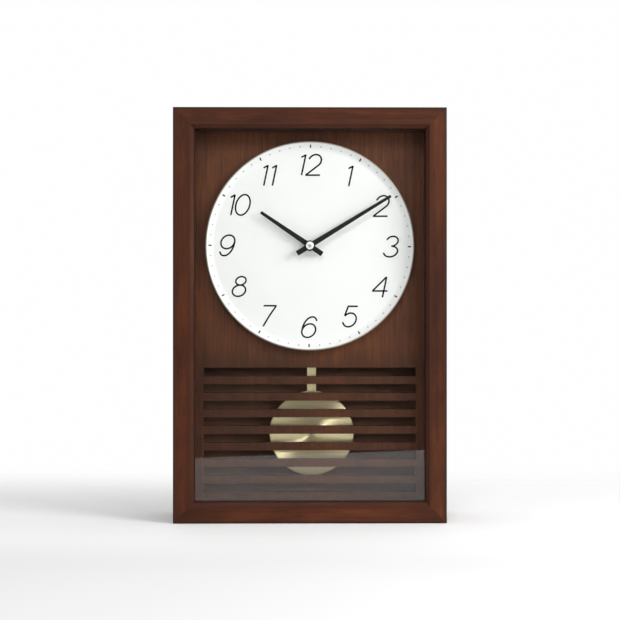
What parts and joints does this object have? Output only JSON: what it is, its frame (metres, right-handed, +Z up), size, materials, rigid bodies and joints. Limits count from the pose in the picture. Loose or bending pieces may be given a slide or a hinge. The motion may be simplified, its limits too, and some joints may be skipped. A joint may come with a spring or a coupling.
{
  "type": "wall clock",
  "caption": "Glazed wooden pendulum wall clock: raised round dial over a slotted panel, brass pendulum behind the slots, quartz movement.",
  "frame": {"origin": "centre of the case's bottom face, halfway between its front and its back", "axes": "+Z up, the clock faces -Y, +X is to the right as seen from the front"},
  "size_m": [0.262, 0.08, 0.398],
  "materials": {
    "walnut": "satin",
    "panel_wood": "satin",
    "fibreboard": "matt",
    "glass": "clear",
    "dial_white": "satin",
    "hands_black": "matt",
    "cap_steel": "polished",
    "zinc_steel": "satin",
    "brass": "brushed",
    "black_plastic": "matt",
    "nylon": "satin",
    "copper": "enamelled wire",
    "magnet": "matt ferrite",
    "circuit_green": "satin",
    "crystal_can": "polished",
    "battery_sleeve": "printed sleeve"
  },
  "bodies": {
    "case": {"back_panel": "fibreboard", "back_screw_left_lower": "zinc_steel", "back_screw_left_upper": "zinc_steel", "back_screw_right_lower": "zinc_steel", "back_screw_right_upper": "zinc_steel", "batten_left": "walnut", "batten_right": "walnut", "battery": "battery_sleeve", "battery_contact": "zinc_steel", "battery_spring": "zinc_steel", "board_screw_left_lower": "zinc_steel", "board_screw_left_upper": "zinc_steel", "board_screw_right_lower": "zinc_steel", "board_screw_right_upper": "zinc_steel", "bushing_washer": "zinc_steel", "case_bottom": "walnut", "case_left_side": "walnut", "case_right_side": "walnut", "case_top": "walnut", "circuit_board": "circuit_green", "dial_board": "panel_wood", "dial_plate": "dial_white", "dial_ring": "dial_white", "dial_screw_left": "zinc_steel", "dial_screw_right": "zinc_steel", "dial_screw_top": "zinc_steel", "glass_pane": "glass", "hanger_plate": "zinc_steel", "hanger_screw_left": "zinc_steel", "hanger_screw_right": "zinc_steel", "hexagon_nut": "brass", "motor_coil": "copper", "movement_front_case": "black_plastic", "movement_rear_cover": "black_plastic", "pendulum_drive_coil": "copper", "pivot_pin": "zinc_steel", "quartz_crystal": "crystal_can", "spacer_bottom": "walnut", "spacer_left": "walnut", "spacer_right": "walnut", "spacer_top": "walnut", "stator": "zinc_steel", "threaded_bushing": "brass"},
    "minute_hand": {"minute_hand": "hands_black", "hand_cap": "cap_steel", "centre_arbor": "zinc_steel"},
    "hour_hand": {"hour_hand": "hands_black", "hour_wheel": "nylon"},
    "motion_wheel": {"motion_wheel": "nylon"},
    "setting_knob": {"setting_knob": "black_plastic"},
    "rotor": {"rotor": "magnet"},
    "fifth_wheel": {"fifth_wheel": "nylon"},
    "second_wheel": {"second_wheel": "nylon"},
    "third_wheel": {"third_wheel": "nylon"},
    "centre_wheel": {"centre_wheel": "nylon"},
    "pendulum": {"swing_arm": "nylon", "swing_magnet": "magnet", "pendulum_rod": "brass", "pendulum_bob": "brass", "bob_nut": "brass"}
  },
  "joints": [
    {"name": "minute_hand_turn", "type": "hinge", "parent": "case", "child": "minute_hand", "pos_m": [0, 0, 0.2663], "axis": [0, 1, 0], "continuous": true},
    {"name": "hour_hand_turn", "type": "hinge", "parent": "case", "child": "hour_hand", "pos_m": [0, 0, 0.2663], "axis": [0, 1, 0], "continuous": true},
    {"name": "motion_wheel_turn", "type": "hinge", "parent": "case", "child": "motion_wheel", "pos_m": [-0.00727, 0.0052, 0.2621], "axis": [0, 1, 0], "continuous": true},
    {"name": "setting_knob_turn", "type": "hinge", "parent": "case", "child": "setting_knob", "pos_m": [-0.01425, 0.02, 0.25807], "axis": [0, 1, 0], "continuous": true},
    {"name": "rotor_turn", "type": "hinge", "parent": "case", "child": "rotor", "pos_m": [0.01552, 0.0136, 0.27669], "axis": [0, 1, 0], "continuous": true},
    {"name": "fifth_wheel_turn", "type": "hinge", "parent": "case", "child": "fifth_wheel", "pos_m": [0.006, 0.0116, 0.27669], "axis": [0, 1, 0], "continuous": true},
    {"name": "second_wheel_turn", "type": "hinge", "parent": "case", "child": "second_wheel", "pos_m": [0, 0.01, 0.2663], "axis": [0, 1, 0], "continuous": true},
    {"name": "third_wheel_turn", "type": "hinge", "parent": "case", "child": "third_wheel", "pos_m": [-0.0106, 0.0084, 0.27242], "axis": [0, 1, 0], "continuous": true},
    {"name": "centre_wheel_turn", "type": "hinge", "parent": "case", "child": "centre_wheel", "pos_m": [0, 0.0068, 0.2663], "axis": [0, 1, 0], "continuous": true},
    {"name": "pendulum_swing", "type": "hinge", "parent": "case", "child": "pendulum", "pos_m": [0.002, 0.01, 0.221], "axis": [0, 1, 0], "range_deg": [-12, 12]}
  ],
  "couplings": [
    {"joint": "hour_hand_turn", "follows": "minute_hand_turn", "ratio": 0.083333},
    {"joint": "motion_wheel_turn", "follows": "minute_hand_turn", "ratio": -0.33333},
    {"joint": "setting_knob_turn", "follows": "minute_hand_turn", "ratio": 1.2},
    {"joint": "fifth_wheel_turn", "follows": "rotor_turn", "ratio": -0.13333},
    {"joint": "second_wheel_turn", "follows": "rotor_turn", "ratio": 0.033333},
    {"joint": "third_wheel_turn", "follows": "rotor_turn", "ratio": -0.0041667},
    {"joint": "centre_wheel_turn", "follows": "rotor_turn", "ratio": 0.00055556}
  ]
}
